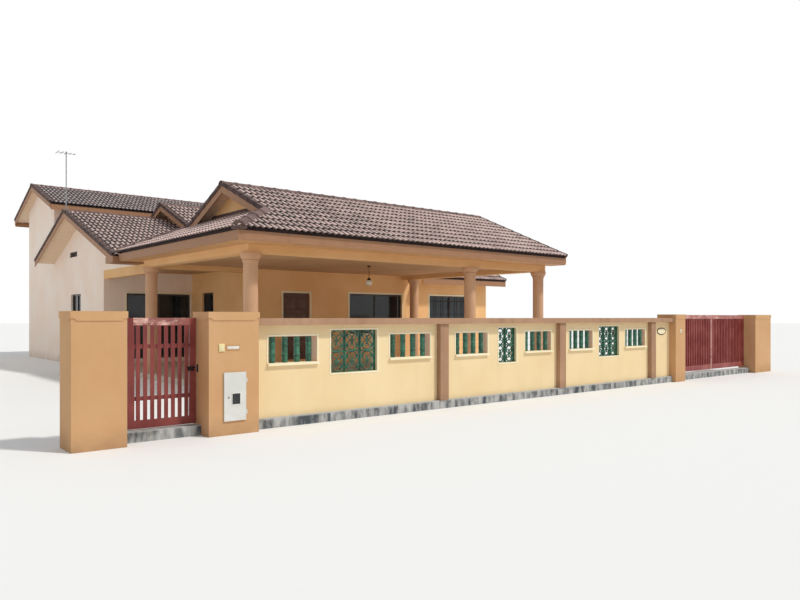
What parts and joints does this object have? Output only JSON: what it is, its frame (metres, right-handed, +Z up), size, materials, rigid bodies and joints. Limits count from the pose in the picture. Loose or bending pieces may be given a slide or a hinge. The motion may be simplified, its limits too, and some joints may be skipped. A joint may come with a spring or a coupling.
{
  "type": "bungalow with street wall",
  "caption": "Tiled bungalow with a hipped car porch on round columns, a two-storey back block and a street wall with openwork screens and steel gates.",
  "frame": {"origin": "on the ground under the middle of the whole plan, house and street wall together", "axes": "+X along the street to the right as seen from it, +Y from the street into the plot, +Z up"},
  "size_m": [20.22, 24.998, 7.2],
  "materials": {
    "house_render": "matt paint on render",
    "wall_cream": "matt paint on render",
    "pier_paint": "matt paint on render",
    "coping_paint": "matt paint on concrete",
    "kerb": "rough concrete",
    "concrete": "trowelled concrete",
    "column_paint": "matt paint on concrete",
    "beam_paint": "matt paint on render",
    "ceiling_white": "flat board, painted",
    "soffit_paint": "painted board",
    "board_paint": "painted board",
    "roof_tiles": "weathered concrete tile",
    "ridge_clay": "weathered concrete tile",
    "frame_paint": "dark bronze enamel",
    "glass": "clear",
    "door_wood": "satin varnish",
    "lamp": "opal",
    "mast_metal": "dull",
    "green_glaze": "glossy, weathered",
    "gate_paint": "satin, faded",
    "pin_steel": "dull",
    "meter_metal": "satin",
    "fitting_plastic": "satin"
  },
  "bodies": {
    "house": {"house_floor": "concrete", "upper_floor": "concrete", "porch_floor": "concrete", "hall_front_wall": "house_render", "hall_left_wall": "house_render", "hall_right_wall": "house_render", "hall_back_wall": "house_render", "wing_front_wall": "house_render", "wing_left_wall": "house_render", "block_front_wall": "house_render", "block_back_wall": "house_render", "block_left_wall": "house_render", "block_right_wall": "house_render", "porch_columns": "column_paint", "porch_front_beam": "beam_paint", "porch_left_beam": "beam_paint", "porch_right_gable": "beam_paint", "terrace_beams": "beam_paint", "ceilings": "ceiling_white", "porch_soffit": "soffit_paint", "porch_roof_front": "roof_tiles", "porch_roof_back": "roof_tiles", "porch_roof_skirt": "roof_tiles", "porch_gablet_wall": "house_render", "hall_roof_front": "roof_tiles", "hall_roof_back": "roof_tiles", "wing_roof_front": "roof_tiles", "wing_roof_back": "roof_tiles", "block_roof_front": "roof_tiles", "block_roof_back": "roof_tiles", "ridge_tiles": "ridge_clay", "fascia_boards": "board_paint", "barge_boards": "board_paint", "valley_gutter": "board_paint", "window_frames": "frame_paint", "window_glass": "glass", "sliding_door": "frame_paint", "sliding_door_glass": "glass", "house_doors": "door_wood", "porch_lamp": "lamp", "tv_mast": "mast_metal", "gate_piers": "pier_paint", "meter_pier": "pier_paint", "boundary_wall": "wall_cream", "wall_pilasters": "coping_paint", "wall_coping": "coping_paint", "wall_kerb": "kerb", "opening_sills": "wall_cream", "breeze_screens": "green_glaze", "bamboo_balusters": "green_glaze", "gate_jamb_post": "gate_paint", "gate_hinge_pins": "pin_steel", "meter_cabinet": "meter_metal", "pier_fittings": "fitting_plastic"},
    "pedestrian_gate": {"pedestrian_gate": "gate_paint"},
    "main_gate_left": {"main_gate_left": "gate_paint"},
    "main_gate_right": {"main_gate_right": "gate_paint"},
    "meter_door": {"meter_door": "meter_metal"}
  },
  "joints": [
    {"name": "pedestrian_gate_hinge", "type": "hinge", "parent": "house", "child": "pedestrian_gate", "pos_m": [-9.294, -11.995, 0.38], "axis": [0, 0, 1], "range_deg": [0, 90]},
    {"name": "main_gate_left_hinge", "type": "hinge", "parent": "house", "child": "main_gate_left", "pos_m": [4.916, -11.995, 0.42], "axis": [0, 0, 1], "range_deg": [0, 90]},
    {"name": "main_gate_right_hinge", "type": "hinge", "parent": "house", "child": "main_gate_right", "pos_m": [9.01, -11.995, 0.42], "axis": [0, 0, -1], "range_deg": [0, 90]},
    {"name": "meter_door_hinge", "type": "hinge", "parent": "house", "child": "meter_door", "pos_m": [-7.735, -12.414, 0.289], "axis": [0, 0, 1], "range_deg": [0, 110]}
  ]
}
